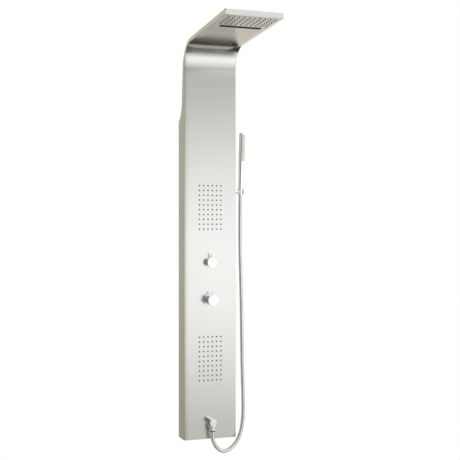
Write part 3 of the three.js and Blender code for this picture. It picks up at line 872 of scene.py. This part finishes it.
def world_ramp(tree, value, stops):
    ramp = tree.nodes.new("ShaderNodeValToRGB")
    ramp.color_ramp.interpolation = "EASE"
    while len(ramp.color_ramp.elements) < len(stops):
        ramp.color_ramp.elements.new(0.5)
    for element, (position, colour) in zip(ramp.color_ramp.elements, stops):
        element.position = position
        element.color = (*colour, 1)
    tree.links.new(value, ramp.inputs["Fac"])
    return ramp.outputs["Color"]


def math_node(tree, operation, *values):
    node = tree.nodes.new("ShaderNodeMath")
    node.operation = operation
    for socket, value in enumerate(values):
        feed(tree, node.inputs[socket], value)
    return node.outputs[0]


def mixed(tree, blend, factor, first, second):
    node = tree.nodes.new("ShaderNodeMix")
    node.data_type = "RGBA"
    node.blend_type = blend
    for socket, value in (("Factor", factor), ("A", first), ("B", second)):
        feed(tree, node.inputs[socket], value)
    return node.outputs["Result"]


def mixed_shaders(tree, factor, first, second):
    node = tree.nodes.new("ShaderNodeMixShader")
    for socket, source in enumerate((factor, first, second)):
        feed(tree, node.inputs[socket], source)
    return node.outputs[0]


def azimuth_stops():
    """The studio's brightness round the horizon, from straight behind the wall."""
    olive = (1.0, 1.0, 0.82)
    left = [(-180, 0.76, olive), (-100, 0.76, olive), (-60, 0.5, olive), (-40, 0.27), (-19, 0.22)]
    right = [(-4, 0.27), (6, 1.0), (125, 1.0), (150, 1.7), (165, 1.6), (180, 0.76, olive)]
    return [(turn / 360 + 0.5, grey(*level)) for turn, *level in left + right]


def height_stops(behind):
    """Its brightness from straight below to straight above, in front or behind."""
    warm = (1.0, 0.96, 0.89)
    below = [(-90, 0.1, warm), (-72, 0.22, warm), (-64, 0.75), (-55, 1.25), (-40, 1.45), (-20, 0.95)]
    if behind:
        below = [(-90, 0.1, warm), (-60, 0.04, warm), (-38, 0.06, warm), (-22, 0.42, warm)]
    up_down = [*below, (-13, 0.82, warm), (0, 1.0), (8, 1.0), (13, 1.25), (30, 1.1), (90, 1.0)]
    return [(tilt / 180 + 0.5, grey(*level)) for tilt, *level in up_down]


def make_world():
    """A plain studio: white to the camera, warm below, dim in front at the left."""
    world = bpy.data.worlds.new("studio")
    bpy.context.scene.world = world
    world.use_nodes = True
    tree = world.node_tree
    way = tree.nodes.new("ShaderNodeTexCoord").outputs["Generated"]
    parts = tree.nodes.new("ShaderNodeSeparateXYZ")
    tree.links.new(way, parts.inputs[0])
    x, y, z = parts.outputs
    round_way = math_node(tree, "ARCTAN2", x, math_node(tree, "MULTIPLY", y, -1.0))
    azimuth = math_node(tree, "MULTIPLY_ADD", round_way, 0.5 / math.pi, 0.5)
    height = math_node(tree, "MULTIPLY_ADD", math_node(tree, "ARCSINE", z), 1 / math.pi, 0.5)
    level = world_ramp(tree, azimuth, azimuth_stops())
    behind = world_ramp(tree, y, [(0, grey(0)), (0.25, grey(1))])
    in_front = world_ramp(tree, height, height_stops(False))
    rise = mixed(tree, "MIX", behind, in_front, world_ramp(tree, height, height_stops(True)))
    band = [(0.14, grey(0)), (0.3, grey(1)), (0.7, grey(1)), (0.86, grey(0))]
    round_all = mixed(tree, "MIX", world_ramp(tree, height, band), (1, 1, 1, 1), level)
    room = tree.nodes["Background"]
    tree.links.new(mixed(tree, "MULTIPLY", 1.0, round_all, rise), room.inputs["Color"])
    white = tree.nodes.new("ShaderNodeBackground")
    white.inputs["Color"].default_value = (1, 1, 1, 1)
    seen = tree.nodes.new("ShaderNodeLightPath").outputs["Is Camera Ray"]
    both = mixed_shaders(tree, seen, room.outputs[0], white.outputs[0])
    tree.links.new(both, tree.nodes["World Output"].inputs["Surface"])


def softbox_glow():
    """White light, brightest half-way up, that fades away to both sides."""
    made = bpy.data.materials.new("softbox")
    made.use_nodes = True
    tree = made.node_tree
    tree.nodes.remove(tree.nodes["Principled BSDF"])
    parts = tree.nodes.new("ShaderNodeSeparateXYZ")
    spot = tree.nodes.new("ShaderNodeTexCoord").outputs["Object"]
    tree.links.new(spot, parts.inputs[0])

    def fade(value, dark, full):
        node = tree.nodes.new("ShaderNodeMapRange")
        node.interpolation_type = "SMOOTHSTEP"
        tree.links.new(value, node.inputs["Value"])
        node.inputs["From Min"].default_value = dark
        node.inputs["From Max"].default_value = full
        return node.outputs["Result"]

    across, tall = parts.outputs[0], math_node(tree, "DIVIDE", parts.outputs[2], BOX_SPREAD)
    fall = math_node(tree, "MULTIPLY", math_node(tree, "MULTIPLY", tall, tall), -0.5)
    glow = tree.nodes.new("ShaderNodeEmission")
    bell = math_node(tree, "EXPONENT", fall)
    tree.links.new(math_node(tree, "MULTIPLY", bell, BOX_STRENGTH), glow.inputs["Strength"])
    tint = mixed(tree, "MIX", bell, (1.02, 1.0, 0.93, 1), (1, 1, 1, 1))
    tree.links.new(tint, glow.inputs["Color"])
    clear = tree.nodes.new("ShaderNodeBsdfTransparent")
    left, right = fade(across, BOX_LEFT, -0.48), fade(across, BOX_RIGHT, 0.60)
    side = math_node(tree, "MULTIPLY", left, right)
    both = mixed_shaders(tree, side, clear.outputs[0], glow.outputs[0])
    tree.links.new(both, tree.nodes["Material Output"].inputs["Surface"])
    return made


def make_softbox():
    """A tall soft light to the right of the camera."""
    forward = -DEPTH / 1000 - BOX_AWAY * math.cos(BOX_TURN)
    centre = Vector((BOX_AWAY * math.sin(BOX_TURN), forward, BOX_CENTRE))
    low, high = BOX_FOOT - BOX_CENTRE, BOX_HEAD - BOX_CENTRE
    left, right = BOX_LEFT, BOX_RIGHT
    mesh = bpy.data.meshes.new("softbox")
    corners = [(left, 0, low), (right, 0, low), (right, 0, high), (left, 0, high)]
    mesh.from_pydata(corners, [], [(0, 1, 2, 3)])
    mesh.materials.append(softbox_glow())
    box = bpy.data.objects.new("softbox", mesh)
    box.matrix_world = Matrix.Translation(centre) @ Matrix.Rotation(BOX_TURN, 4, "Z")
    bpy.context.scene.collection.objects.link(box)
    box.visible_camera = False
    box.visible_shadow = False


def make_floor():
    mesh = bpy.data.meshes.new("floor")
    half = FLOOR_HALF
    corners = [(-half, -half, 0), (half, -half, 0), (half, half, 0), (-half, half, 0)]
    mesh.from_pydata(corners, [], [(0, 1, 2, 3)])
    pale = Finish("pale_floor", 0.0)
    pale.colour(pale.noise(3.0), (0.86, 0.86, 0.85), (0.9, 0.9, 0.89))
    pale.roughness(pale.noise(20.0), 0.6, 0.7)
    mesh.materials.append(pale.material)
    floor = bpy.data.objects.new("floor", mesh)
    floor.location = (0, 0, FLOOR_LEVEL)
    bpy.context.scene.collection.objects.link(floor)
    floor.visible_glossy = False


# ---- the scene ----

make_camera()
hose, hose_path, hose_length = make_hose()
make_panel()
make_cover()
make_nozzles("upper_jet_mat", JETS, out_of_front(UPPER_JETS), 53, 91, "upper_jet_nozzles")
make_nozzles("lower_jet_mat", JETS, out_of_front(LOWER_JETS), 53, 91, "lower_jet_nozzles")
make_nozzles("rain_mat", RAIN, out_of_head(RAIN_CENTRE), 90, 51.5, "rain_nozzles")
make_spout()
make_diverter()
make_mixer()
lower_nut = make_outlet()
make_handset()
upper_nut = make_upper_nut()
make_holder()
make_lines()
dress_nodes()
make_world()
make_softbox()
make_floor()
bpy.context.scene.view_settings.view_transform = "Standard"
